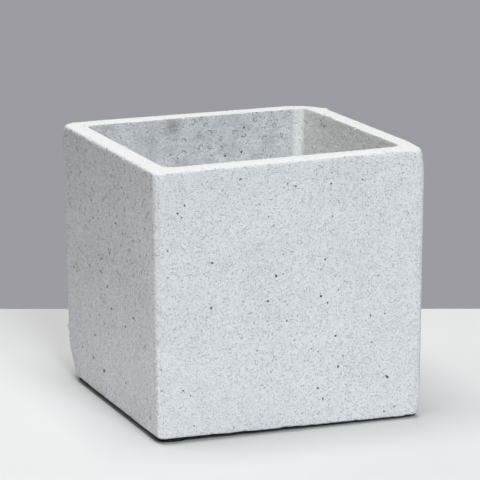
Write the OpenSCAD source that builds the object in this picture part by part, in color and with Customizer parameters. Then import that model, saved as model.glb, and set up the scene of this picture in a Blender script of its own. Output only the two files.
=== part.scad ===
// Square planter box cast in pale concrete, standing on round stick-on pads,
// with a rubber stopper in the drain hole of its floor.
// Millimetres, +Z up. The origin is the centre of the plan on the surface that the pads rest on.
// The front is -Y and the left side is -X.

/* [Box] */
// Outside width of the box at its rim
body_w = 200; // [140:5:400]
// Outside depth of the box at its rim
body_d = 200; // [140:5:400]
// Height of the casting, without the pads
body_h = 188; // [120:1:400]
// How far each side leans in from the rim to the underside, so that the casting leaves its mould
draft = 2; // [0:0.5:5]
// Plan radius of the upright corners at the rim
corner_r = 7; // [6:1:30]
// Radius of the rounding between the sides and the underside
base_r = 2.5; // [1:0.5:5]
// Radius of the worn outer edge of the rim
rim_r = 2.5; // [0.5:0.5:5]

/* [Cavity] */
// Width of the flat rim, which is the wall's thickness at the mouth
wall = 15; // [10:0.5:20]
// Thickness of the floor
floor_t = 16; // [12:1:26]
// How far each inner side leans in from the mouth to the floor, so that the core pulls out
core_draft = 3; // [0:0.5:6]
// Plan radius of the cavity's upright corners at the mouth
core_corner_r = 8; // [7:1:24]
// Radius of the rounding between the inner sides and the floor
cove_r = 6; // [2:0.5:6]
// Radius of the inner edge of the rim
mouth_r = 1; // [0.5:0.5:3]

/* [Drain] */
// Diameter of the drain hole
drain_d = 25; // [16:1:40]
// Size of the bevel round both ends of the drain hole
drain_bevel = 1; // [0.5:0.25:2]
// Gap all round between the stopper's sealing ribs and the drain hole
plug_gap = 0.05; // [0.02:0.01:0.1]
// How far the stopper's head reaches over the floor round the drain hole
plug_lip = 5; // [3:0.5:9]
// Thickness of the stopper's head
plug_head_t = 4; // [3:0.5:6]
// Height of the sealing ribs above the stopper's stem
rib_h = 0.8; // [0.4:0.1:1.5]
// Number of sealing ribs on the stem
rib_n = 3; // [2:1:4]
// How far the stem's tip stays inside the drain hole
plug_short = 2; // [1:0.5:5]

/* [Pads] */
// Diameter of each stick-on pad
pad_d = 22; // [12:1:24]
// Thickness of each stick-on pad
pad_t = 3.5; // [1.5:0.5:6]
// Distance from the rim's outer side to the centre of a pad
pad_inset = 18; // [16:1:40]
// Radius of the pad's lower edge
pad_edge_r = 0.6; // [0.2:0.1:1]

/* [Hidden] */

$fn = 64;
corner_steps = 10;    // facets round each upright corner
base_steps = 6;       // facets up the base rounding
rim_steps = 4;        // facets over the rim's outer edge
mouth_steps = 3;      // facets over the rim's inner edge
cove_steps = 5;       // facets round the cavity's floor
OVER = 1;             // how far a cutter runs past the face that it cuts

under_z = pad_t;                  // underside of the casting
rim_z = under_z + body_h;         // flat top of the rim
floor_z = under_z + floor_t;      // top of the cavity's floor
drain_r = drain_d / 2;

concrete = [0.83, 0.85, 0.86];
black_rubber = [0.10, 0.10, 0.11];
grey_rubber = [0.30, 0.31, 0.32];

// ---- Rings and lofts -------------------------------------------------------

// A rounded rectangle at height z, set in from the rim's outer sides by inset
function ring(inset, r, z) = [
    for (corner = [0:3], step = [0:corner_steps])
        let (side_x = (corner == 0 || corner == 3) ? 1 : -1,
             side_y = corner < 2 ? 1 : -1,
             turn = 90 * (corner + step / corner_steps))
        [side_x * (body_w / 2 - inset - r) + r * cos(turn),
         side_y * (body_d / 2 - inset - r) + r * sin(turn),
         z]];

// A closed skin through a stack of rings, with a flat cap on the first and on the last
module loft(rings) {
    n = len(rings[0]);
    last = len(rings) - 1;
    polyhedron(
        points = [for (r = rings) each r],
        faces = concat(
            [[for (i = [0:n - 1]) i]],
            [for (j = [0:last - 1], i = [0:n - 1])
                let (a = j * n + i, b = j * n + (i + 1) % n)
                each [[a, a + n, b], [b, a + n, b + n]]],
            [[for (i = [n - 1:-1:0]) last * n + i]]));
}

// ---- The casting -----------------------------------------------------------

// Lean of the outer and the inner sides at height z
function outer_lean(z) = draft * (rim_z - z) / body_h;
function core_lean(z) = core_draft * (rim_z - z) / (rim_z - floor_z);

// From the flat underside round to the upright sides
function base_rings() = [
    for (step = [0:base_steps])
        let (t = 90 * step / base_steps,
             back = base_r * (1 - sin(t)),
             z = under_z + base_r * (1 - cos(t)))
        ring(outer_lean(z) + back, corner_r - back, z)];

// Over the outer edge of the rim
function rim_rings() = [
    for (step = [0:rim_steps])
        let (t = 90 * step / rim_steps,
             back = rim_r * (1 - cos(t)),
             z = rim_z - rim_r * (1 - sin(t)))
        ring(outer_lean(z) + back, corner_r - back, z)];

// Over the inner edge of the rim and into the mouth
function mouth_rings() = [
    for (step = [0:mouth_steps])
        let (t = 90 * step / mouth_steps,
             flare = mouth_r * (1 - sin(t)),
             z = rim_z - mouth_r * (1 - cos(t)))
        ring(wall + core_lean(z) - flare, core_corner_r + flare, z)];

// From the inner sides round to the flat floor
function cove_rings() = [
    for (step = [0:cove_steps])
        let (t = 90 * step / cove_steps,
             back = cove_r * (1 - cos(t)),
             z = floor_z + cove_r * (1 - sin(t)))
        ring(wall + core_lean(z) + back, core_corner_r - back, z)];

// The drain hole with a bevel round each end
module drain_cutter() {
    translate([0, 0, under_z - OVER]) cylinder(r = drain_r, h = floor_t + 2 * OVER);
    translate([0, 0, floor_z - drain_bevel])
        cylinder(r1 = drain_r, r2 = drain_r + drain_bevel + OVER, h = drain_bevel + OVER);
    translate([0, 0, under_z - OVER])
        cylinder(r1 = drain_r + drain_bevel + OVER, r2 = drain_r, h = drain_bevel + OVER);
}

module planter_body() {
    color(concrete)
    difference() {
        loft(concat(base_rings(), rim_rings(), mouth_rings(), cove_rings()));
        drain_cutter();
    }
}

// ---- The stopper -----------------------------------------------------------

stem_h = floor_t - plug_short;            // stem from the floor's top down to its tip
rib_r = drain_r - plug_gap;               // outside of the sealing ribs
stem_r = rib_r - rib_h;
rib_pitch = (stem_h - drain_bevel) / rib_n;
rib_land = rib_pitch * 0.3;               // straight band that seals against the hole
rib_lead = rib_pitch * 0.8;               // from the rib's shoulder down to where its lead-in starts
tip_bevel = rib_h;                        // bevel that finds the hole
head_r = drain_r + plug_lip;
head_round = plug_head_t * 0.45;          // rounding of the head's upper edge
head_steps = 6;

// Half section of one rib, from below: long lead-in, sealing band, square shoulder
function rib_points(top) = [
    [stem_r, top - rib_lead],
    [rib_r, top - rib_land],
    [rib_r, top],
    [stem_r, top]];

module drain_plug() {
    color(grey_rubber)
    rotate_extrude() polygon(concat(
        [[0, floor_z - stem_h], [stem_r - tip_bevel, floor_z - stem_h]],
        [for (n = [rib_n - 1:-1:0]) each rib_points(floor_z - drain_bevel - n * rib_pitch)],
        [[stem_r, floor_z], [head_r, floor_z]],
        [for (step = [0:head_steps])
            let (t = 90 * step / head_steps)
            [head_r - head_round * (1 - cos(t)),
             floor_z + plug_head_t - head_round * (1 - sin(t))]],
        [[0, floor_z + plug_head_t]]));
}

// ---- The pads --------------------------------------------------------------

// One round pad under the corner on side_x and side_y, each -1 or 1
module pad(side_x, side_y) {
    edge_steps = 4;
    color(black_rubber)
    translate([side_x * (body_w / 2 - pad_inset), side_y * (body_d / 2 - pad_inset), 0])
    rotate_extrude() polygon(concat(
        [[0, 0]],
        [for (step = [0:edge_steps])
            let (t = 90 * step / edge_steps)
            [pad_d / 2 - pad_edge_r * (1 - sin(t)), pad_edge_r * (1 - cos(t))]],
        [[pad_d / 2, pad_t], [0, pad_t]]));
}

module foot_front_left() pad(-1, -1);
module foot_front_right() pad(1, -1);
module foot_rear_left() pad(-1, 1);
module foot_rear_right() pad(1, 1);

planter_body();
drain_plug();
foot_front_left();
foot_front_right();
foot_rear_left();
foot_rear_right();
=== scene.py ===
"""Cast concrete planter box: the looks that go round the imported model."""

import math
import random
from functools import partial

import bmesh
import bpy
from bpy.props import FloatProperty, FloatVectorProperty, IntProperty, PointerProperty
from mathutils import Matrix, Vector, noise
from mathutils.bvhtree import BVHTree


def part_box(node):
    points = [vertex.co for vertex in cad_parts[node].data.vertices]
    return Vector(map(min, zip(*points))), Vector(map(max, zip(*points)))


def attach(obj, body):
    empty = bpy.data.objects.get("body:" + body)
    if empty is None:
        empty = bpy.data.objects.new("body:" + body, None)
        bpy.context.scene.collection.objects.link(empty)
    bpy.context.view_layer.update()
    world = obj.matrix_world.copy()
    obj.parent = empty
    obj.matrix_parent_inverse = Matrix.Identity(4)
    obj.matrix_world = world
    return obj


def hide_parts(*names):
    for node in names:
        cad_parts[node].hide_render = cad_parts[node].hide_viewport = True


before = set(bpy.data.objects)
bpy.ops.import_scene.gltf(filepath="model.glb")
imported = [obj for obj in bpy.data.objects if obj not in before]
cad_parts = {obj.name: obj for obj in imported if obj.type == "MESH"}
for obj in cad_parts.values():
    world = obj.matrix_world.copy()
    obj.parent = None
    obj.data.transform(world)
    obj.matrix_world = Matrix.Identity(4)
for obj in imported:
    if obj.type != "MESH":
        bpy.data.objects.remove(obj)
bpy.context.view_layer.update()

bl_info = {
    "name": "Planter Box",
    "version": (1, 0, 0),
    "blender": (4, 5, 0),
    "location": "View3D > Sidebar > Planter",
    "description": "Cast concrete planter box on stick-on pads, with a drain stopper",
    "category": "Add Mesh",
}

MM = 0.001


# ---- Colours and nodes -----------------------------------------------------

def linear(hex_colour):
    """Turns an sRGB hex colour into linear red, green and blue."""
    values = [int(hex_colour[i:i + 2], 16) / 255 for i in (1, 3, 5)]
    return tuple(v / 12.92 if v <= 0.04045 else ((v + 0.055) / 1.055) ** 2.4 for v in values)


def add_node(tree, kind, inputs=(), **settings):
    """Adds one shader node, its inputs given by name or in order: a node is linked from its first
    output, a socket is linked, and any other value is set."""
    node = tree.nodes.new("ShaderNode" + kind)
    for name, value in settings.items():
        setattr(node, name, value)
    for name, value in inputs.items() if isinstance(inputs, dict) else enumerate(inputs):
        if isinstance(value, bpy.types.Node):
            value = value.outputs[0]
        if isinstance(value, bpy.types.NodeSocket):
            tree.links.new(value, node.inputs[name])
        else:
            node.inputs[name].default_value = value
    return node


# The colour sockets of a Mix node, by their places, because their names aren't theirs alone: how
# much of the second colour is mixed in, the two colours, and the result.
SHARE, FIRST, SECOND, MIXED = 0, 6, 7, 2


def new_material(name, roughness, ior=1.45):
    """Makes an empty material with its shader, and returns it with its tree and shader."""
    material = bpy.data.materials.new(name)
    material.use_nodes = True
    tree = material.node_tree
    tree.nodes.clear()
    shader = add_node(tree, "BsdfPrincipled", {"Roughness": roughness, "IOR": ior})
    add_node(tree, "OutputMaterial", {"Surface": shader})
    return material, tree, shader


def rgba(colour):
    """Adds the alpha that a colour socket asks for."""
    return (*colour[:3], 1.0)


# ---- Mesh helpers ----------------------------------------------------------

SHARP_ANGLE = math.radians(35)


def everything(bm):
    """Every vertex, edge and face of a bmesh."""
    return bm.verts[:] + bm.edges[:] + bm.faces[:]


def stretched_cube(bm, low, high, lean):
    """Adds a box between two corners whose lower end leans in by lean on every side."""
    middle, size = (low + high) / 2, high - low
    matrix = Matrix.Translation(middle) @ Matrix.Diagonal((*size, 1))
    verts = bmesh.ops.create_cube(bm, size=1, matrix=matrix)["verts"]
    lower = [v for v in verts if v.co.z < middle.z]
    bmesh.ops.scale(bm, verts=lower, vec=(1 - 2 * lean / size.x, 1 - 2 * lean / size.y, 1))
    return {face for v in verts for face in v.link_faces}


def round_edges(bm, edges, radius, segments):
    """Rounds edges with a true arc and returns the faces that it makes."""
    made = bmesh.ops.bevel(bm, geom=edges, offset=radius, offset_type="OFFSET", segments=segments,
                           profile=0.5, affect="EDGES", clamp_overlap=False, material=-1)
    return made["faces"]


def upright_edges(faces):
    """The edges of a box that run from its lower end to its upper end."""
    edges = {edge for face in faces for edge in face.edges}
    return [e for e in edges if abs(e.verts[0].co.z - e.verts[1].co.z) > 10 * MM]


def cap_face(bm, height, upward):
    """The flat face at that height that looks up or down."""
    return next(f for f in bm.faces
                if abs(f.calc_center_median().z - height) < 0.01 * MM
                and f.normal.z * upward > 0.99)


def open_tub(bm, low, high, lean, corner_radius, low_radius, corner_segments, low_segments):
    """Adds a rounded tub with no top: returns its mouth's edges."""
    faces = stretched_cube(bm, low, high, lean)
    round_edges(bm, upright_edges(faces), corner_radius, corner_segments)
    bm.normal_update()
    round_edges(bm, cap_face(bm, low.z, -1).edges[:], low_radius, low_segments)
    bm.normal_update()
    lid = cap_face(bm, high.z, 1)
    mouth = lid.edges[:]
    bmesh.ops.delete(bm, geom=[lid], context="FACES_ONLY")
    return mouth


def cut_grid(bm, axis, start, stop, pitch):
    """Slices the mesh with evenly spaced planes square to one axis."""
    along = Vector((0, 0, 0))
    along[axis] = 1
    count = max(1, round((stop - start) / pitch))
    for step in range(count + 1):
        place = along * (start + (stop - start) * step / count)
        bmesh.ops.bisect_plane(bm, geom=everything(bm), dist=0.001 * MM, plane_co=place, plane_no=along)


def lathe(bm, points, segments=64):
    """Spins a half section, given as (radius, height) pairs, round the upright axis."""
    verts = [bm.verts.new((radius, 0, height)) for radius, height in points]
    edges = [bm.edges.new(pair) for pair in zip(verts, verts[1:])]
    bmesh.ops.spin(bm, geom=verts + edges, cent=(0, 0, 0), axis=(0, 0, 1), angle=math.tau,
                   steps=segments, use_merge=True)
    bmesh.ops.remove_doubles(bm, verts=bm.verts[:], dist=0.001 * MM)
    bmesh.ops.recalc_face_normals(bm, faces=bm.faces[:])


def arc(centre, radius, start, stop, segments):
    """Points along an arc in a half section; angles in degrees from outwards, up positive."""
    turns = [math.radians(start + (stop - start) * i / segments) for i in range(segments + 1)]
    return [(centre[0] + radius * math.cos(t), centre[1] + radius * math.sin(t)) for t in turns]


def finished_object(name, bm, material):
    """Turns a bmesh into a smooth-shaded object with one material."""
    mesh = bpy.data.meshes.new(name)
    bm.to_mesh(mesh)
    bm.free()
    mesh.materials.append(material)
    mesh.shade_smooth()
    mesh.set_sharp_from_angle(angle=SHARP_ANGLE)
    obj = bpy.data.objects.new(name, mesh)
    bpy.context.scene.collection.objects.link(obj)
    return obj


def subtract(obj, cutter_bm):
    """Cuts a bmesh's closed solids out of an object, for good."""
    cutter_mesh = bpy.data.meshes.new("cutter")
    cutter_bm.to_mesh(cutter_mesh)
    cutter_bm.free()
    cutter = bpy.data.objects.new("cutter", cutter_mesh)
    bpy.context.scene.collection.objects.link(cutter)
    cut = obj.modifiers.new("cut", "BOOLEAN")
    cut.object, cut.operation, cut.solver = cutter, "DIFFERENCE", "MANIFOLD"
    cut.material_mode = "INDEX"
    evaluated = obj.evaluated_get(bpy.context.evaluated_depsgraph_get())
    result = bpy.data.meshes.new_from_object(evaluated)
    if not result.polygons:
        raise RuntimeError("the cut left nothing of the " + obj.name)
    obj.modifiers.clear()
    obj.data = result
    bpy.data.objects.remove(cutter)
    bpy.data.meshes.remove(cutter_mesh)


# ---- Settings --------------------------------------------------------------

class CastingSettings(bpy.types.PropertyGroup):
    """Sizes and colours of the concrete casting"""
    wall: FloatProperty(name="Rim width", description="Width of the flat rim",
                        default=15 * MM, unit="LENGTH")
    floor_thickness: FloatProperty(name="Floor", description="Thickness of the floor",
                                   default=16 * MM, unit="LENGTH")
    corner_radius: FloatProperty(name="Corner radius", description="Plan radius of the upright corners",
                                 default=7 * MM, unit="LENGTH")
    core_corner_radius: FloatProperty(name="Inner corner radius",
                                      description="Plan radius of the cavity's upright corners",
                                      default=8 * MM, unit="LENGTH")
    base_radius: FloatProperty(name="Base radius", description="Rounding between sides and underside",
                               default=1.2 * MM, unit="LENGTH")
    cove_radius: FloatProperty(name="Cove radius", description="Rounding between inner sides and floor",
                               default=6 * MM, unit="LENGTH")
    rim_radius: FloatProperty(name="Rim radius", description="Worn rounding of the rim's outer edge",
                              default=2.5 * MM, unit="LENGTH")
    mouth_radius: FloatProperty(name="Mouth radius", description="Rounding of the rim's inner edge",
                                default=1 * MM, unit="LENGTH")
    draft: FloatProperty(name="Draft", description="Lean of each outer side from rim to base",
                         default=2 * MM, unit="LENGTH")
    core_draft: FloatProperty(name="Core draft", description="Lean of each inner side from mouth to floor",
                              default=3 * MM, unit="LENGTH")
    drain_radius: FloatProperty(name="Drain radius", description="Radius of the drain hole",
                                default=12.5 * MM, unit="LENGTH")
    waviness: FloatProperty(name="Waviness", description="Deepest low spot of the hand-cast sides",
                            default=0.45 * MM, unit="LENGTH")
    void_count: IntProperty(name="Air voids", description="Number of scattered air voids", default=340)
    colour: FloatVectorProperty(name="Concrete", description="Colour of the cast faces",
                                default=linear("#D0D1D3"), subtype="COLOR")
    rim_colour: FloatVectorProperty(name="Rubbed rim", description="Colour of the rubbed rim",
                                    default=linear("#C1C1BF"), subtype="COLOR")


class RubberSettings(bpy.types.PropertyGroup):
    """Colours of the rubber pieces"""
    stopper_colour: FloatVectorProperty(name="Stopper", description="Colour of the drain stopper",
                                        default=linear("#3A3C3F"), subtype="COLOR")
    pad_colour: FloatVectorProperty(name="Pads", description="Colour of the stick-on pads",
                                    default=linear("#0B0C0D"), subtype="COLOR")


class StageSettings(bpy.types.PropertyGroup):
    """Table top, room, lights and camera"""
    table_colour: FloatVectorProperty(name="Table", description="Colour of the table top",
                                      default=linear("#C1C1C0"), subtype="COLOR")
    room_colour: FloatVectorProperty(name="Room", description="Colour of the room behind the table",
                                     default=linear("#9C9CA2"), subtype="COLOR")
    room_light: FloatProperty(name="Room light", description="Share of the room's colour that lights",
                              default=0.3, min=0.0, max=1.0, subtype="FACTOR")
    top_light: FloatProperty(name="Top light", description="Power of the softbox overhead",
                             default=106.0, unit="POWER")
    front_light: FloatProperty(name="Front light", description="Power of the softbox in front",
                               default=168.0, unit="POWER")
    rear_light: FloatProperty(name="Rear light", description="Power of the rear left softbox",
                              default=6.0, unit="POWER")
    back_light: FloatProperty(name="Back light", description="Power of the softbox far behind",
                              default=24.0, unit="POWER")
    azimuth: FloatProperty(name="Azimuth", description="Camera's turn round the planter",
                           default=math.radians(-21.39), subtype="ANGLE")
    elevation: FloatProperty(name="Elevation", description="Camera's height angle",
                             default=math.radians(12.82), subtype="ANGLE")
    roll: FloatProperty(name="Roll", description="Camera's tilt about its own axis",
                        default=math.radians(-0.02), subtype="ANGLE")
    distance: FloatProperty(name="Distance", description="From the aim point to the camera",
                            default=2.147, unit="LENGTH")
    focal_length: FloatProperty(name="Focal length", description="On a 36 mm sensor",
                                default=225.0, unit="CAMERA")


# ---- Materials -------------------------------------------------------------

# Marks on the cavity's sides: where each is. The streak, a painted highlight, runs down the rear right
# corner.
CORNER_HIGHLIGHT_AXIS = Vector((79.5, 81.5, 0)) * MM
STAIN = Vector((-20, 82, 183)) * MM
CRUMBS = Vector((77, 50, 187)) * MM

# The concrete's other tones, some of them painted light and shade, as marked where they are mixed in.
CORE_SIDE_PAINTED_LIGHT = linear("#DFE0DB")
UNDERSIDE_PAINTED_SHADE = linear("#55585A")
STAIN_GREY = linear("#6E6C69")
DARK_SAND = linear("#6A6E71")
PINHOLE_SHADE = linear("#55585A")
PALE_FLECK_AND_HIGHLIGHT = linear("#F2F2F0")
PIT_SHADE = linear("#7A7D7C")
CORNER_HIGHLIGHT = linear("#F0F0EE")
PASTE_CRUMB_AND_HIGHLIGHT = linear("#F6F6F4")


def cast_concrete(settings, rim_height):
    """Concrete cast against a smooth mould: dry and matt, peppered with dark sand grains, mottled
    and pitted where it set against the core, its rim rubbed pale and smooth with dust."""
    material, tree, shader = new_material("cast_concrete", roughness=0.9)
    add = partial(add_node, tree)
    here = add("TexCoord").outputs["Object"]
    x, y, z = add("SeparateXYZ", (here,)).outputs
    normal_x, _, normal_z = add("SeparateXYZ", (add("NewGeometry").outputs["Normal"],)).outputs

    # unevenness of six kinds: how many mm across it is, its detail and its roughness
    wear, clouds, blotches, lumps, fray, clots = [
        add("TexNoise", {"Vector": here, "Scale": 1 / (size * MM), "Detail": detail,
                         "Roughness": roughness})
        for size, detail, roughness in ((2.2, 4, 0.7), (38, 3, 0.5), (11, 4, 0.6), (4, 4, 0.6),
                                        (2, 4, 0.8), (1.6, 1, 0.5))]

    def spots(pitch, radius, share):
        """Round spots in random cells, with the pitch and radius in mm, and a chance for each cell."""
        cells = add("TexVoronoi", {"Vector": here, "Scale": 1 / (pitch * MM)})
        chance = add("SeparateColor", (cells.outputs["Color"],)).outputs
        held = add("Math", (chance[0], share), operation="LESS_THAN")
        disc = add("MapRange", (cells, radius / pitch * 1.3, radius / pitch * 0.7, 0.0, held))
        return disc, chance[1]

    def grain_tones(size):
        """A tone for each sand grain of that size in mm, with few dark ones among the pale."""
        cells = add("TexVoronoi", {"Vector": here, "Scale": 1 / (size * MM)})
        chance = add("SeparateColor", (cells.outputs["Color"],))
        return add("Math", (chance, 3.0), operation="POWER")

    def patch(spot, reach, strength):
        """A ragged patch round a spot that fades out at its reach."""
        away = add("VectorMath", (here, spot), operation="DISTANCE").outputs["Value"]
        ragged = add("Math", (fray, 16 * MM, away), operation="MULTIPLY_ADD")
        return add("MapRange", (ragged, reach + 8 * MM, 8 * MM, 0.0, strength))

    # where it is: the rubbed rim looks up near the top, the cavity lies within the walls, and the
    # sides that look left are the outside's left one and the cavity's right one, the core side
    edge_wear = add("MapRange", (wear, 0.3, 0.7, -0.3, 0.3))
    upward = add("Math", (normal_z, edge_wear), operation="ADD")
    near_rim = add("MapRange", (z, rim_height - 6 * MM, rim_height - 3 * MM))
    rubbed = add("MapRange", (upward, 0.42, 0.6, 0.0, near_rim))
    across, along = [add("Math", (axis, 0.0), operation="ABSOLUTE") for axis in (x, y)]
    aside = add("Math", (across, along), operation="MAXIMUM")
    above_floor = add("MapRange", (z, 12 * MM, 17 * MM))
    cored = add("MapRange", (aside, 92 * MM, 89 * MM, 0.0, above_floor))
    looks_left = add("MapRange", (normal_x, -0.5, -0.8))
    core_side = add("MapRange", (normal_x, -0.5, -0.8, 0.0, cored))

    # slow clouds over the cast faces and stronger blotches where the core stood
    outer_blotches = add("MapRange", (blotches, 0.35, 0.65, 0.985, 1.01))
    core_blotches = add("MapRange", (blotches, 0.32, 0.68, 0.76, 0.99))

    # sand grains: the real ones are about 0.3 mm across, and they are drawn as cells of 0.5 mm, and
    # of 0.9 mm on the sides that look left, so that they still show; the core side is calmer
    sand = add("MapRange", (looks_left, 0.0, 1.0, grain_tones(0.5), grain_tones(0.9)))
    calm = add("MapRange", (core_side, 0.0, 1.0, 1.0, 0.4))
    grain, grain_depth = spots(1.7, 0.38, 0.5)
    grain_share = add("MapRange", (grain_depth, 0.0, 1.0, 0.2, 0.85))
    grain_share = add("Math", (grain_share, calm), operation="MULTIPLY")
    pinhole, _ = spots(9, 0.6, 0.35)
    fleck_and_highlight, _ = spots(5.7, 0.8, 0.35)
    pit, _ = spots(6.3, 1.1, 0.45)

    # a pale streak down the cavity's rear right corner, painted light where the corner faces the lamps,
    # and crumbs of pale cement paste on the core side below the rim, partly painted highlight where they
    # stand out
    flat = add("CombineXYZ", (x, y, 0.0))
    away = add("VectorMath", (flat, CORNER_HIGHLIGHT_AXIS), operation="DISTANCE").outputs["Value"]
    streak = add("MapRange", (away, 5.5 * MM, 3 * MM, 0.0, cored))
    streak = add("MapRange", (normal_x, -0.8, -0.5, 0.0, streak))
    crumb_and_highlight = add("MapRange", (clots, 0.56, 0.62, 0.0, core_side))
    crumb_and_highlight = add("Math", (crumb_and_highlight, patch(CRUMBS, 16 * MM, 1.0)), operation="MULTIPLY")

    tone = rgba(settings.colour)
    for share, colour, blend in (
            (1.0, add("MapRange", (clouds, 0.3, 0.7, 0.965, 1.025)), "MULTIPLY"),
            (1.0, add("MapRange", (cored, 0.0, 1.0, outer_blotches, core_blotches)), "MULTIPLY"),
            # painted light: every face darker towards the top, and the sides that look left lighter
            # towards the bottom and the front, as the table's bounce and the front light fall on them
            (1.0, add("MapRange", (z, 0.0, rim_height, 1.05, 0.95)), "MULTIPLY"),
            (looks_left, add("MapRange", (z, 0.0, rim_height, 1.1, 0.93)), "MULTIPLY"),
            (looks_left, add("MapRange", (y, -98 * MM, 98 * MM, 1.11, 0.95)), "MULTIPLY"),
            # painted light: the cavity's right side, which looks left, is made paler, as the light falls
            # on it
            (core_side, rgba(CORE_SIDE_PAINTED_LIGHT), "MIX"),
            # painted shade: faces that look down are darkened, as shade falls under the casting
            (add("MapRange", (normal_z, -0.6, -0.9, 0.0, 0.7)), rgba(UNDERSIDE_PAINTED_SHADE), "MIX"),
            (patch(STAIN, 9 * MM, 0.6), rgba(STAIN_GREY), "MIX"),
            (calm, add("MapRange", (sand, 0.0, 1.0, 1.105, 0.665)), "MULTIPLY"),
            (add("Math", (grain, grain_share), operation="MULTIPLY"), rgba(DARK_SAND), "MIX"),
            (add("MapRange", (pinhole, 0.0, 1.0, 0.0, 0.75)), rgba(PINHOLE_SHADE), "MIX"),
            # pale flecks on the sides that look left, partly painted highlight where the relief catches
            # the light
            (add("MapRange", (fleck_and_highlight, 0.0, 1.25, 0.0, looks_left)), rgba(PALE_FLECK_AND_HIGHLIGHT), "MIX"),
            (add("MapRange", (pit, 0.0, 1 / 0.3, 0.0, looks_left)), rgba(PIT_SHADE), "MIX"),
            # painted highlight: the pale streak down the rear right corner of the cavity
            (add("MapRange", (streak, 0.0, 1.0, 0.0, 0.45)), rgba(CORNER_HIGHLIGHT), "MIX"),
            # pale cement paste crumbs, partly painted highlight where they stand out and catch the light
            (add("MapRange", (crumb_and_highlight, 0.0, 1.0, 0.0, 0.7)), rgba(PASTE_CRUMB_AND_HIGHLIGHT), "MIX")):
        tone = add("Mix", {SHARE: share, FIRST: tone, SECOND: colour}, data_type="RGBA",
                   blend_type=blend).outputs[MIXED]

    # dust lies on the rim in faint streaks
    dust_and_shade = add("MapRange", (edge_wear, -0.3, 0.3, 0.9, 1.07))
    dusted = add("Mix", {SHARE: 1.0, FIRST: rgba(settings.rim_colour), SECOND: dust_and_shade},
                 data_type="RGBA", blend_type="MULTIPLY").outputs[MIXED]
    worn = add("Mix", {SHARE: rubbed, FIRST: tone, SECOND: dusted}, data_type="RGBA")
    tree.links.new(worn.outputs[MIXED], shader.inputs["Base Color"])

    # relief: lumps, sand grains and holes, with scabs and pits that stand out most on the left side
    left_side = add("Math", (looks_left, core_side), operation="SUBTRACT")
    height = add("Math", (lumps, add("MapRange", (looks_left, 0.0, 1.0, 0.5, 1.5))),
                 operation="MULTIPLY")
    for form, rise in (
            (sand, -0.15),
            (add("Math", (grain, pinhole), operation="MAXIMUM"), -0.3),
            (add("Math", (fleck_and_highlight, pit), operation="SUBTRACT"),
             add("MapRange", (left_side, 0.0, 1.0, 0.5, 1.3))),
            (crumb_and_highlight, 1.5)):
        height = add("Math", (form, rise, height), operation="MULTIPLY_ADD")
    bump = add("Bump", {"Strength": add("MapRange", (rubbed, 0.0, 1.0, 1.0, 0.2)),
                        "Distance": 0.8 * MM, "Height": height})
    tree.links.new(bump.outputs[0], shader.inputs["Normal"])
    return material


def painted_shade_lining(name, dark, pale):
    """The inside of an air void, pit or bubble ring: dull concrete, darker than the face as painted shade
    in the hollow, mottled between a dark and a pale tone."""
    material, tree, shader = new_material(name, roughness=1.0)
    here = add_node(tree, "TexCoord").outputs["Object"]
    # painted shade: a noise mottles the hollow between its dark and pale tones
    dust_and_shade = add_node(tree, "TexNoise", {"Vector": here, "Scale": 1 / (1.5 * MM)})
    tone = add_node(tree, "Mix", {SHARE: dust_and_shade, FIRST: rgba(linear(dark)), SECOND: rgba(linear(pale))},
                    data_type="RGBA")
    tree.links.new(tone.outputs[MIXED], shader.inputs["Base Color"])
    return material


RUBBER_DUST = linear("#A9A8A4")


def moulded_rubber(name, colour, roughness, grain_size):
    """Moulded rubber: dark and satin, with a faint grain from the mould and a little dust."""
    material, tree, shader = new_material(name, roughness=roughness, ior=1.5)
    here = add_node(tree, "TexCoord").outputs["Object"]
    dust_and_shade = add_node(tree, "TexNoise", {"Vector": here, "Scale": 1 / (5 * MM), "Detail": 4.0})
    amount = add_node(tree, "MapRange", (dust_and_shade, 0.5, 0.75, 0.0, 0.12))
    dusty = add_node(tree, "Mix", {SHARE: amount, FIRST: rgba(colour), SECOND: rgba(RUBBER_DUST)},
                     data_type="RGBA")
    tree.links.new(dusty.outputs[MIXED], shader.inputs["Base Color"])
    # the mould's grain, about 0.1 mm across, is too fine to show, so it is drawn coarser
    grain = add_node(tree, "TexNoise", {"Vector": here, "Scale": 1 / grain_size})
    bump = add_node(tree, "Bump", {"Strength": 0.5, "Distance": 0.05 * MM, "Height": grain})
    tree.links.new(bump.outputs[0], shader.inputs["Normal"])
    return material


def table_paint(colour):
    """Matt paint on the table top, plain and even."""
    material, _, shader = new_material("matt_table_paint", roughness=0.95)
    shader.inputs["Base Color"].default_value = rgba(colour)
    shader.inputs["Specular IOR Level"].default_value = 0.1
    return material


# ---- The casting -----------------------------------------------------------

CORNER_SEGMENTS, FOOT_SEGMENTS, COVE_SEGMENTS = 12, 5, 6
RIM_SEGMENTS, MOUTH_SEGMENTS = 5, 4

# How closely the skin is cut for its waves. The strips along the upright corners start so far
# from the edges, and stop where the corners' own faces are fine enough.
GRID_PITCH = 2.5 * MM
STRIP_START, STRIP_STOP = 30 * MM, 9 * MM

# Plan radius of each upright corner in mm, by the signs of its x and y: along most of its height,
# then at the rim and how far down that fades out, then at the base and how far up it fades out.
CORNER_RADII = (
    ((-1, -1), 6, (6, 10), (7, 10)),
    ((1, -1), 6, (11, 14), (12, 8)),
    ((1, 1), 8, (28, 60), (8, 10)),
    ((-1, 1), 8, (9, 14), (24, 18)),
)

# How far round the drain the floor and the underside stay flat.
DRAIN_SURROUND = 24 * MM

# The cavity's skew grows from nothing at the underside to its full amount this far up.
SKEW_REACH = 30 * MM

# The rim and the floor are wavy by this share of what the sides are.
LEVEL_WAVINESS = 0.3

# How deep the ragged edge round the foot is, and how far up it fades out.
FOOT_RAGGEDNESS, FOOT_REACH = 0.9 * MM, 3 * MM

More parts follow.
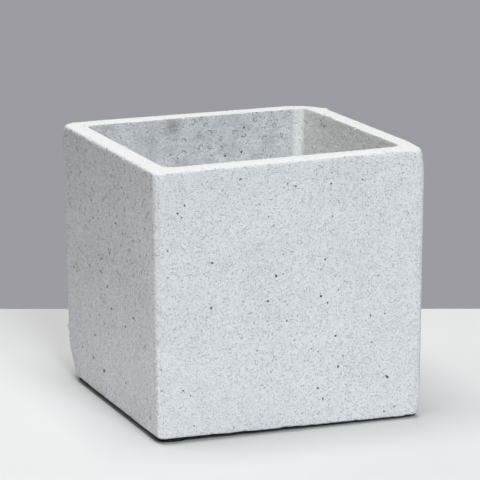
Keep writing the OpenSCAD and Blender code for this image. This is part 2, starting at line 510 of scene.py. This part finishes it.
# How far the hand-made mould is out of square at each corner, by the signs of its x, y and z, in mm.
OUT_OF_SQUARE = (
    ((-1, -1, 1), (0.3, 0.0, -3.0)),
    ((1, -1, 1), (-0.4, 0.5, 0.0)),
    ((1, 1, 1), (-1.5, -3.0, -2.0)),
    ((-1, 1, 1), (0.0, 0.0, -3.5)),
    ((-1, -1, -1), (1.5, 0.0, 0.5)),
    ((1, -1, -1), (0.0, -2.0, -1.2)),
    ((-1, 1, -1), (0.8, 0.8, 0.9)),
)

# How far the cavity's corners are off, by the signs of their x and y, in mm.
CORE_OUT_OF_SQUARE = (
    ((-1, -1), (-1.4, 0.7)),
    ((1, -1), (2.0, 0.7)),
    ((1, 1), (0.2, -1.5)),
    ((-1, 1), (-1.4, -4.5)),
)

# The cavity's rear right corner is nearly sharp, and the cavity's surface bows to the left there:
# how far, and how far along x and y from the outer corner the bow reaches.
SHARP_CORE_RADIUS = 2.5 * MM
CORE_BOW, CORE_BOW_REACH = 4 * MM, (60 * MM, 45 * MM)

# Rounded-off corners, by the signs of their x, y and z: how far rubbing moves the surface along
# x, y and z, and how far from the corner it reaches, all in mm.
RUBBED_CORNERS = (
    ((1, -1, 1), (-0.4, 0.8, -2.2), 20),
    ((-1, 1, 1), (0.8, -0.8, -0.8), 14),
    ((-1, -1, 1), (0.3, 0.3, -0.5), 10),
    ((-1, 1, -1), (3.0, -2.0, 2.6), 26),
    ((-1, 1, -1), (4.5, -4.0, 0.8), 14),
)

# Burrs left by the mould's joints: where each is, how far it lifts the surface and how far it
# reaches, all in mm.
BURRS = (
    ((96, 74, 191), (0.5, 0, 1.6), 3.5),
    ((86, 40, 191), (0, 0, 1.2), 3),
    ((-96, 96, 37), (-2.4, 1.8, 0), 3.2),
    ((-97, 96, 158), (-0.8, 0.3, 0), 3),
)


def casting_shell(settings, low, high):
    """The box and its cavity as one closed skin of rounded edges, before it is cut finer."""
    bm = bmesh.new()
    outer_mouth = open_tub(bm, low, high, settings.draft, settings.corner_radius,
                           settings.base_radius, CORNER_SEGMENTS, FOOT_SEGMENTS)
    wall = Vector((settings.wall, settings.wall, 0))
    core_low = low + wall + Vector((0, 0, settings.floor_thickness))
    outer_faces = set(bm.faces)
    inner_mouth = open_tub(bm, core_low, high - wall, settings.core_draft,
                           settings.core_corner_radius, settings.cove_radius, CORNER_SEGMENTS,
                           COVE_SEGMENTS)
    bmesh.ops.reverse_faces(bm, faces=[f for f in bm.faces if f not in outer_faces])
    bmesh.ops.bridge_loops(bm, edges=outer_mouth + inner_mouth)
    round_edges(bm, outer_mouth, settings.rim_radius, RIM_SEGMENTS)
    round_edges(bm, inner_mouth, settings.mouth_radius, MOUTH_SEGMENTS)
    return bm


def closeness(distance, reach):
    """One where the distance is nought, falling to nought at the reach."""
    return min(1.0, max(0.0, 1 - distance / reach))


def reshape_corners(bm, settings, low, high):
    """Gives each upright corner of the outside its own radius at each height."""
    for v in bm.verts:
        lean = settings.draft * (high.z - v.co.z) / (high.z - low.z)
        for (side_x, side_y), usual, (rim, rim_reach), (base, base_reach) in CORNER_RADII:
            along_x = side_x * v.co.x - (high.x - lean - settings.corner_radius)
            along_y = side_y * v.co.y - (high.y - lean - settings.corner_radius)
            if min(along_x, along_y) < -0.5 * MM:
                continue
            along_x, along_y = max(0.0, along_x), max(0.0, along_y)
            near_rim = closeness(high.z - v.co.z, rim_reach * MM)
            near_base = closeness(v.co.z - low.z, base_reach * MM)
            radius = usual + (rim - usual) * near_rim ** 2
            radius += (base - usual) * (1 - math.sqrt(1 - near_base ** 2))
            growth = radius * MM - settings.corner_radius
            across = math.hypot(along_x, along_y)
            v.co.x += side_x * growth * (along_x / across - 1)
            v.co.y += side_y * growth * (along_y / across - 1)


def sharpen_core_corner(bm, settings, low, high):
    """Gives the cavity's rear right upright corner a smaller radius than the others."""
    growth = SHARP_CORE_RADIUS - settings.core_corner_radius
    for v in bm.verts:
        lean = settings.core_draft * (high.z - v.co.z) / (high.z - low.z - settings.floor_thickness)
        centre = high.x - settings.wall - lean - settings.core_corner_radius
        along_x, along_y = v.co.x - centre, v.co.y - centre
        across = math.hypot(max(0.0, along_x), max(0.0, along_y))
        # the mouth's own rounding goes along with the corner, and the outside stays as it is
        if min(along_x, along_y) < -0.5 * MM or across > settings.core_corner_radius + 1.3 * MM:
            continue
        if across > 1 * MM and v.co.z > low.z + settings.floor_thickness + settings.cove_radius:
            v.co.x += growth * (max(0.0, along_x) / across - 1)
            v.co.y += growth * (max(0.0, along_y) / across - 1)


def skew(place, low, high, corners):
    """How far a mould that is out of square at its corners moves a point, which is all of a
    corner's amount at that corner and none of it at the others."""
    shift = Vector((0, 0, 0))
    for signs, amount in corners:
        weight = 1.0
        for i, sign in enumerate(signs):
            share = (place[i] - low[i]) / (high[i] - low[i])
            weight *= share if sign > 0 else 1 - share
        shift += Vector(amount).to_3d() * MM * weight
    return shift


def core_skew(place, low, high):
    """How far the core's being out of square and its bow move a point of the cavity."""
    shift = skew(place, low, high, CORE_OUT_OF_SQUARE)
    bow = closeness(high.x - place.x, CORE_BOW_REACH[0]) * closeness(high.y - place.y, CORE_BOW_REACH[1])
    shift.x -= CORE_BOW * bow
    return shift


def rub(place, low, high):
    """How far the rubbing at the corners moves a point."""
    shift = Vector((0, 0, 0))
    for signs, depth, reach in RUBBED_CORNERS:
        corner = Vector([high[i] if signs[i] > 0 else low[i] for i in range(3)])
        away = (place - corner).length / (reach * MM)
        if away < 1:
            shift += Vector(depth) * MM * (1 - away ** 2) ** 2
    return shift


def burr(place):
    """How far a burr left by the mould's joint lifts a point."""
    shift = Vector((0, 0, 0))
    for spot, lift, reach in BURRS:
        near = closeness((place - Vector(spot) * MM).length, reach * MM)
        shift += Vector(lift) * MM * near
    return shift


def slice_finer(bm, high):
    """Cuts the skin into faces small enough to carry the waves of a hand-made mould."""
    for axis in (0, 1):
        start = high[axis] - STRIP_START
        cut_grid(bm, axis, -start, start, GRID_PITCH)
    for side in (-1, 1):
        for axis in (0, 1):
            start, stop = high[axis] - STRIP_START, high[axis] - STRIP_STOP
            cut_grid(bm, axis, side * start, side * stop, GRID_PITCH)


def wave(place, settings):
    """How deep the hand-made mould's slow waves and low spots are at a point."""
    slow = noise.noise(place / (70 * MM)) + 0.5 * noise.noise(place / (24 * MM) + Vector((7, 3, 1)))
    quick = noise.noise(place / (8 * MM) + Vector((2, 9, 5)))
    return max(0.0, settings.waviness * (0.5 + 0.33 * slow + 0.17 * quick))


def weather(bm, settings, low, high):
    """Makes the casting uneven: out of square, rubbed at its corners, with burrs, slow waves and
    low spots, and a ragged edge round its foot. The drain's surroundings and the underside stay flat."""
    bm.normal_update()
    core_edge = high.x - settings.wall + settings.mouth_radius + 0.01 * MM
    foot_edge = high.x - settings.draft - settings.base_radius - 0.3 * MM
    moves = {}
    for v in bm.verts:
        flat = v.co.xy.length < DRAIN_SURROUND or v.co.z < low.z + 0.2 * MM
        depth = wave(v.co, settings) * (LEVEL_WAVINESS if v.normal.z > 0.5 else 1)
        move = Vector((0, 0, 0)) if flat else -v.normal * depth
        move += rub(v.co, low, high) + burr(v.co)
        upright = 1 - closeness(v.co.z - low.z, SKEW_REACH)
        aside = max(abs(v.co.x), abs(v.co.y))
        if aside < core_edge and v.co.z > low.z + settings.floor_thickness - 1 * MM:
            move += core_skew(v.co, low, high) * upright
            move.z += skew(v.co, low, high, OUT_OF_SQUARE).z * upright
        else:
            move += skew(v.co, low, high, OUT_OF_SQUARE)
        if aside > foot_edge:
            jagged = noise.noise(v.co / (5 * MM)) + 0.6 * noise.noise(v.co / (16 * MM))
            move.z += FOOT_RAGGEDNESS * max(0.0, jagged) * closeness(v.co.z - low.z, FOOT_REACH)
        moves[v] = move
    for v, move in moves.items():
        v.co += move


# The material slots of the holes' linings, which are painted shade.
VOID_SLOT, PIT_SLOT, RING_SLOT = 1, 2, 3

# The largest air voids, the shallow pits and the rings that flat bubbles leave: how far along the
# side, how high and how wide each is, in mm. Along is x on the front and on the cavity's rear side,
# and y on the left and on the cavity's right side.
FRONT_VOIDS = (
    (-38, 180, 1.7), (2, 172, 1.5), (-4, 174, 1.2), (51, 173, 1.4), (28, 172, 1.5), (-78, 165, 1.6),
    (-83, 160, 1.7), (-80, 157, 1.3), (-90, 135, 1.3), (-14, 146, 1.2), (-12, 111, 2.2),
    (-59, 93, 1.9), (-18, 94, 1.8), (21, 94, 1.9), (26, 89, 1.4), (-4, 79, 1.4), (32, 65, 1.8),
    (34, 43, 1.9), (71, 32, 2.4), (19, 29, 1.8), (58, 77, 1.4), (59, 58, 1.3), (-79, 37, 1.4),
    (23, 21, 1.4), (-74, 33, 1.2),
)
LEFT_PITS = (
    (30, 132, 2.6), (33, 144, 2.0), (-18, 138, 2.4), (-33, 166, 1.8), (14, 106, 2.4), (21, 107, 1.8),
    (-4, 114, 2.4), (-41, 116, 1.8), (16, 96, 2.8), (3, 88, 3.0), (77, 86, 2.4), (-3, 187, 2.6),
    (15, 24, 3.8), (38, 28, 2.6), (-34, 68, 2.4), (33, 46, 2.4), (22, 63, 2.0), (-5, 74, 2.8),
    (-51, 78, 2.6), (-31, 27, 2.2), (-80, 15, 2.4), (41, 95, 2.2), (62, 30, 2.2), (55, 160, 2.2),
)
REAR_CAVITY_VOIDS = ((36, 178, 1.8), (21, 158, 1.8), (34, 160, 2.0), (-22, 162, 1.2), (-16, 159, 1.2))
REAR_CAVITY_RINGS = ((-4, 185, 3.6), (2, 187, 2.4), (6, 182, 2.8), (9, 176, 3.4), (1, 174, 2.8),
                     (2, 166, 3.0), (9, 165, 2.6), (18, 171, 2.8), (18, 164, 2.4), (29, 175, 3.0),
                     (36, 172, 2.8), (-11, 172, 2.4), (-11, 163, 2.6), (52, 169, 3.0), (45, 183, 2.8),
                     (60, 178, 2.8), (66, 170, 2.4))
RIGHT_CAVITY_RINGS = ((55, 183, 2.6), (49, 182, 2.4), (84, 180, 2.4))
RING_GROOVE = 1.1 * MM

# The least and greatest width of a scattered void in mm, and how quickly they thin out with width.
SCATTERED_WIDTHS, SCATTERED_FALL = (0.6, 1.7), 3.5

# The chips along each edge: how many there are, and the least and greatest width of any.
CHIP_COUNTS = {"rim": 110, "mouth": 80, "base": 110}
CHIP_WIDTHS = (1.0 * MM, 3.4 * MM)


def struck(tree, origin, direction, spots):
    """Where rays that start level with each spot strike the surface: (place, normal, diameter)."""
    found = []
    for along, height, diameter in spots:
        start = Vector((origin[0], origin[1], height * MM))
        start[0 if direction.y else 1] = along * MM
        place, normal, _, _ = tree.ray_cast(start, direction)
        if place is not None:
            found.append((place, normal, diameter * MM))
    return found


def scattered_voids(bm, settings, rng):
    """Picks scattered places for small air voids: (place, outward normal, diameter)."""
    faces = [f for f in bm.faces if f.calc_center_median().xy.length > DRAIN_SURROUND]
    weights = [f.calc_area() for f in faces]
    least, most = SCATTERED_WIDTHS
    return [(face.calc_center_median(), face.normal.copy(),
             min(most, least + rng.expovariate(SCATTERED_FALL)) * MM)
            for face in rng.choices(faces, weights, k=settings.void_count)]


def spaced(blobs, taken):
    """The blobs that keep clear of each other and of the taken ones."""
    kept = []
    for blob in blobs:
        if all((blob[0] - other[0]).length > (blob[2] + other[2]) * 0.8 for other in taken + kept):
            kept.append(blob)
    return kept


def chip_places(bm, settings, rng, low, high):
    """Picks places for small chips along the rim's outer and inner edges and the base's edge."""
    rim_edge = high.x - settings.rim_radius
    mouth_edge = high.x - settings.wall + 1.5 * settings.mouth_radius
    base_edge = high.x - settings.draft - settings.base_radius
    edges = {"rim": [], "mouth": [], "base": []}
    for v in bm.verts:
        aside = max(abs(v.co.x), abs(v.co.y))
        if v.co.z > high.z - 6 * MM and aside > rim_edge:
            edges["rim"].append(v)
        elif v.co.z > high.z - 6 * MM and aside < mouth_edge:
            edges["mouth"].append(v)
        elif v.co.z < low.z + settings.base_radius and aside > base_edge:
            edges["base"].append(v)
    chips = []
    for name, count in CHIP_COUNTS.items():
        for v in rng.choices(edges[name], k=count):
            chips.append((v.co.copy(), v.normal.copy(), rng.uniform(*CHIP_WIDTHS)))
    return chips


def add_blobs(bm, blobs, rng, sunk, flatness, material_index, subdivisions=2, level=False):
    """Adds egg-shaped solids: flatness squeezes them, sunk puts them so far into the surface, and
    level ones all lie lengthwise."""
    before = len(bm.faces)
    for place, normal, diameter in blobs:
        stretch = rng.uniform(1.2, 1.6) if level else rng.uniform(0.8, 1.3)
        turn = normal.to_track_quat("Z", "Y").to_matrix().to_4x4()
        spin = Matrix.Rotation(rng.gauss(0, 0.3) if level else rng.uniform(0, math.tau), 4, "Z")
        shape = Matrix.Diagonal((diameter * stretch, diameter / stretch, diameter * flatness, 1))
        centre = Matrix.Translation(place - normal * diameter * flatness * sunk)
        bmesh.ops.create_icosphere(bm, subdivisions=subdivisions, radius=0.5,
                                   matrix=centre @ turn @ spin @ shape)
    for face in bm.faces[before:]:
        face.material_index = material_index


def join(bm, part, matrix=None):
    """Moves a bmesh's faces into another, and frees it."""
    mesh = bpy.data.meshes.new("part")
    part.transform(matrix or Matrix.Identity(4))
    part.to_mesh(mesh)
    part.free()
    bm.from_mesh(mesh)
    bpy.data.meshes.remove(mesh)


def add_rings(bm, rings, rng, material_index):
    """Adds the ring-shaped grooves that flat bubbles leave against the core, each a little aslant."""
    section = arc((0, 0), RING_GROOVE / 2, 0, 360, 6)
    before = len(bm.faces)
    for place, normal, diameter in rings:
        ring = bmesh.new()
        lathe(ring, [(diameter / 2 + x, y) for x, y in section], 16)
        turn = normal.to_track_quat("Z", "Y").to_matrix().to_4x4()
        spin = Matrix.Rotation(rng.uniform(0, math.tau), 4, "Z")
        slant = Matrix.Rotation(rng.uniform(0.15, 0.4), 4, "X") @ Matrix.Diagonal((1.15, 0.85, 1, 1))
        join(bm, ring, Matrix.Translation(place + normal * 0.2 * MM) @ turn @ spin @ slant)
    bm.faces.ensure_lookup_table()
    for face in bm.faces[before:]:
        face.material_index = material_index


def add_drain_cutter(bm, settings, low):
    """Adds the drain hole's shape, with a bevel at both ends, to a bmesh of cutters."""
    hole = bmesh.new()
    bevel, over = 1 * MM, 1 * MM
    radius, bottom, top = settings.drain_radius, low.z, low.z + settings.floor_thickness
    lathe(hole, [(0, bottom - over), (radius + bevel + over, bottom - over), (radius, bottom + bevel),
                 (radius, top - bevel), (radius + bevel + over, top + over), (0, top + over)])
    join(bm, hole)


class OBJECT_OT_planter_casting(bpy.types.Operator):
    """Builds the concrete casting with its worn corners, air voids and drain hole"""
    bl_idname = "object.planter_casting"
    bl_label = "Casting"

    def execute(self, context):
        settings = context.scene.planter_casting
        low, high = (Vector(corner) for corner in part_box("planter_body"))
        rng = random.Random(11)
        bm = casting_shell(settings, low, high)
        cut_grid(bm, 2, low.z + settings.base_radius, high.z - settings.rim_radius, GRID_PITCH)
        reshape_corners(bm, settings, low, high)
        sharpen_core_corner(bm, settings, low, high)
        slice_finer(bm, high)
        bmesh.ops.recalc_face_normals(bm, faces=bm.faces[:])
        weather(bm, settings, low, high)
        bm.normal_update()
        surface, rightward, rearward = BVHTree.FromBMesh(bm), Vector((1, 0, 0)), Vector((0, 1, 0))
        voids = struck(surface, (0, 2 * low.y), rearward, FRONT_VOIDS)
        pits = struck(surface, (2 * low.x, 0), rightward, LEFT_PITS)
        voids += struck(surface, (0, 0), rearward, REAR_CAVITY_VOIDS)
        rings = struck(surface, (0, 0), rearward, REAR_CAVITY_RINGS)
        rings += struck(surface, (0, 0), rightward, RIGHT_CAVITY_RINGS)
        voids, rings, pits = spaced(voids, []), spaced(rings, voids), spaced(pits, [])
        taken = voids + rings + pits
        chips = spaced(chip_places(bm, settings, rng, low, high), taken)
        voids += spaced(scattered_voids(bm, settings, rng), taken + chips)
        casting = finished_object("casting", bm, cast_concrete(settings, high.z))
        # the holes' linings are painted shade, darker than the face
        for name, dark, pale in (("air_void_painted_shade", "#4E5153", "#8A8D8F"),
                                 ("shallow_pit_painted_shade", "#6F7273", "#A2A5A5"),
                                 ("bubble_ring_painted_shade", "#8A8D8E", "#B8BABA")):
            casting.data.materials.append(painted_shade_lining(name, dark, pale))
        cutters = bmesh.new()
        add_blobs(cutters, voids, rng, sunk=0.1, flatness=1.0, material_index=VOID_SLOT)
        add_rings(cutters, rings, rng, material_index=RING_SLOT)
        add_blobs(cutters, pits, rng, sunk=0.0, flatness=0.45, material_index=PIT_SLOT, level=True)
        add_blobs(cutters, chips, rng, sunk=0.0, flatness=0.6, material_index=0, subdivisions=1)
        add_drain_cutter(cutters, settings, low)
        subtract(casting, cutters)
        casting.data.set_sharp_from_angle(angle=SHARP_ANGLE)
        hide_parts("planter_body")
        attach(casting, "planter")
        return {"FINISHED"}


# ---- The stopper -----------------------------------------------------------

HEAD_THICKNESS, HEAD_ROUNDING, HEAD_EDGE = 4 * MM, 1.8 * MM, 0.4 * MM
STEM_RADIUS, STEM_LEAD_IN = 11.65 * MM, 0.8 * MM
RIB_RADIUS, RIB_COUNT, RIB_GAP = 12.45 * MM, 3, 1 * MM
# A raised lip goes round the head's top, and a low nub stands in its middle.
LIP_INSET, LIP_ROUNDING, DISH_INSET, DISH_DEPTH = 4 * MM, 0.8 * MM, 5.2 * MM, 1.1 * MM
NUB_FOOT, NUB_TOP, NUB_DEPTH, NUB_CROWN = 2.2 * MM, 1.8 * MM, 0.7 * MM, 0.6 * MM


class OBJECT_OT_planter_stopper(bpy.types.Operator):
    """Builds the rubber stopper of the drain hole"""
    bl_idname = "object.planter_stopper"
    bl_label = "Stopper"

    def execute(self, context):
        settings = context.scene.planter_rubber
        low, high = (Vector(corner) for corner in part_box("drain_plug"))
        head_radius, head_low = (high.x - low.x) / 2, high.z - HEAD_THICKNESS
        rib_pitch = (head_low - RIB_GAP - low.z) / RIB_COUNT
        points = [(0, low.z), (STEM_RADIUS - STEM_LEAD_IN, low.z)]
        for rib in reversed(range(RIB_COUNT)):
            top = head_low - RIB_GAP - rib * rib_pitch
            points += [(STEM_RADIUS, top - 0.8 * rib_pitch), (RIB_RADIUS, top - 0.3 * rib_pitch),
                       (RIB_RADIUS, top - 0.1 * MM), (STEM_RADIUS, top)]
        points += [(STEM_RADIUS, head_low), (head_radius - HEAD_EDGE, head_low),
                   (head_radius, head_low + HEAD_EDGE)]
        points += arc((head_radius - HEAD_ROUNDING, high.z - HEAD_ROUNDING), HEAD_ROUNDING, 0, 90, 8)
        points += arc((head_radius - LIP_INSET, high.z - LIP_ROUNDING), LIP_ROUNDING, 90, 180, 5)
        points += [(head_radius - DISH_INSET, high.z - DISH_DEPTH), (NUB_FOOT, high.z - DISH_DEPTH),
                   (NUB_TOP, high.z - NUB_DEPTH), (0, high.z - NUB_CROWN)]
        bm = bmesh.new()
        lathe(bm, points, 96)
        rubber = moulded_rubber("moulded_rubber", settings.stopper_colour, 0.55, 0.6 * MM)
        stopper = finished_object("stopper", bm, rubber)
        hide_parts("drain_plug")
        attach(stopper, "stopper")
        return {"FINISHED"}


# ---- The pads --------------------------------------------------------------

# Each pad has a shallow dish in its sole, a rounded edge, and a step down to its glued face.
PAD_DISH, PAD_SOLE, PAD_DISH_SLOPE, PAD_EDGE = 0.15 * MM, 2.1 * MM, 0.4 * MM, 0.6 * MM
PAD_STEP, PAD_STEP_HEIGHT, PAD_CHAMFER = 0.4 * MM, 0.25 * MM, 0.1 * MM


class OBJECT_OT_planter_pads(bpy.types.Operator):
    """Builds the round stick-on pads under the corners"""
    bl_idname = "object.planter_pads"
    bl_label = "Pads"

    def execute(self, context):
        settings = context.scene.planter_rubber
        rubber = moulded_rubber("stick_on_pad_rubber", settings.pad_colour, 0.75, 0.35 * MM)
        for corner in ("front_left", "front_right", "rear_left", "rear_right"):
            low, high = (Vector(v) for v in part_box("foot_" + corner))
            radius, middle, step = (high.x - low.x) / 2, (low + high) / 2, high.z - PAD_STEP_HEIGHT
            points = [(0, low.z + PAD_DISH), (radius - PAD_SOLE - PAD_DISH_SLOPE, low.z + PAD_DISH),
                      (radius - PAD_SOLE, low.z)]
            points += arc((radius - PAD_EDGE, low.z + PAD_EDGE), PAD_EDGE, -90, 0, 6)
            points += [(radius, step - PAD_CHAMFER), (radius - PAD_CHAMFER, step),
                       (radius - PAD_STEP, step), (radius - PAD_STEP, high.z), (0, high.z)]
            bm = bmesh.new()
            lathe(bm, points)
            bmesh.ops.translate(bm, verts=bm.verts[:], vec=(middle.x, middle.y, 0))
            pad = finished_object("pad_" + corner, bm, rubber)
            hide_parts("foot_" + corner)
            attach(pad, "planter")
        return {"FINISHED"}


# ---- The stage -------------------------------------------------------------

# The points that the camera and the softboxes look at.
CAMERA_AIM = Vector((8.4, 20.0, 109.1)) * MM
LIGHT_AIM = Vector((0, 0, 100)) * MM

# The table top's size, and how far its far edge is behind the planter's middle, seen by the camera.
TABLE_SIZE, TABLE_BEHIND = Vector((3.2, 1.8, 0.018)), 0.2532


def area_light(name, place, size, watts, colour=(1.0, 1.0, 1.0)):
    """A square softbox that looks at the planter and is itself unseen."""
    data = bpy.data.lights.new(name, "AREA")
    data.shape, data.size, data.energy, data.color = "SQUARE", size, watts, colour
    light = bpy.data.objects.new(name, data)
    light.location = place
    light.rotation_euler = (LIGHT_AIM - place).to_track_quat("-Z", "Y").to_euler()
    light.visible_camera = False
    bpy.context.scene.collection.objects.link(light)


class OBJECT_OT_planter_stage(bpy.types.Operator):
    """Sets the table top, the room, the soft lights and the camera"""
    bl_idname = "object.planter_stage"
    bl_label = "Stage"

    def execute(self, context):
        scene = context.scene
        settings = scene.planter_stage

        turn, height = settings.azimuth, settings.elevation
        level = Vector((math.sin(turn), -math.cos(turn), 0))

        bm = bmesh.new()
        bmesh.ops.create_cube(bm, size=1)
        bmesh.ops.scale(bm, verts=bm.verts[:], vec=TABLE_SIZE)
        bmesh.ops.rotate(bm, verts=bm.verts[:], matrix=Matrix.Rotation(turn, 3, "Z"))
        middle = level * (TABLE_SIZE.y / 2 - TABLE_BEHIND) - Vector((0, 0, TABLE_SIZE.z / 2))
        bmesh.ops.translate(bm, verts=bm.verts[:], vec=middle)
        table = finished_object("table_top", bm, table_paint(settings.table_colour))

        # the camera, gloss and glass see the room's colour in full, and the planter is lit by less
        world = bpy.data.worlds.new("room")
        world.use_nodes = True
        tree = world.node_tree
        tree.nodes.clear()
        path = add_node(tree, "LightPath").outputs
        seen = path["Is Camera Ray"]
        for ray in ("Is Glossy Ray", "Is Transmission Ray"):
            seen = add_node(tree, "Math", (seen, path[ray]), operation="MAXIMUM")
        strength = add_node(tree, "MapRange", (seen, 0.0, 1.0, settings.room_light, 1.0))
        room = add_node(tree, "Background",
                        {"Color": rgba(settings.room_colour), "Strength": strength})
        add_node(tree, "OutputWorld", {"Surface": room})
        scene.world = world

        area_light("top_softbox", Vector((-0.2, 0.0, 3.4)), 2.0, settings.top_light)
        area_light("front_softbox", Vector((-0.18, -3.8, 2.8)), 1.6, settings.front_light,
                   (0.942, 1.0, 1.035))
        area_light("rear_softbox", Vector((-0.9, 0.6, 1.6)), 1.2, settings.rear_light)
        area_light("back_softbox", Vector((0.4, 3.6, 2.6)), 1.6, settings.back_light)

        towards = level * math.cos(height) + Vector((0, 0, math.sin(height)))
        data = bpy.data.cameras.new("camera")
        data.lens, data.sensor_width = settings.focal_length, 36
        data.clip_start, data.clip_end = 0.05, 50
        camera = bpy.data.objects.new("camera", data)
        camera.matrix_world = (Matrix.Translation(CAMERA_AIM + towards * settings.distance)
                               @ (-towards).to_track_quat("-Z", "Y").to_matrix().to_4x4()
                               @ Matrix.Rotation(settings.roll, 4, "Z"))
        scene.collection.objects.link(camera)
        scene.camera = camera
        scene.view_settings.view_transform = "Standard"
        return {"FINISHED"}


# ---- The panel and the run -------------------------------------------------

class VIEW3D_PT_planter(bpy.types.Panel):
    """Lists the planter's pieces and their sizes"""
    bl_idname = "VIEW3D_PT_planter"
    bl_label = "Planter Box"
    bl_space_type = "VIEW_3D"
    bl_region_type = "UI"
    bl_category = "Planter"

    def draw(self, context):
        for operator, group in PIECES:
            column = self.layout.column()
            column.operator(operator.bl_idname)
            settings = getattr(context.scene, group)
            for name in settings.__annotations__:
                column.prop(settings, name)


SETTINGS = {"planter_casting": CastingSettings, "planter_rubber": RubberSettings,
            "planter_stage": StageSettings}
PIECES = ((OBJECT_OT_planter_casting, "planter_casting"),
          (OBJECT_OT_planter_stopper, "planter_rubber"),
          (OBJECT_OT_planter_pads, "planter_rubber"),
          (OBJECT_OT_planter_stage, "planter_stage"))
CLASSES = (*SETTINGS.values(), *(operator for operator, _ in PIECES), VIEW3D_PT_planter)


def register():
    for cls in CLASSES:
        bpy.utils.register_class(cls)
    for name, cls in SETTINGS.items():
        setattr(bpy.types.Scene, name, PointerProperty(type=cls))


def unregister():
    for name in SETTINGS:
        delattr(bpy.types.Scene, name)
    for cls in reversed(CLASSES):
        bpy.utils.unregister_class(cls)


def main():
    register()
    bpy.ops.object.planter_casting()
    bpy.ops.object.planter_stopper()
    bpy.ops.object.planter_pads()
    bpy.ops.object.planter_stage()


if __name__ == "__main__":
    main()
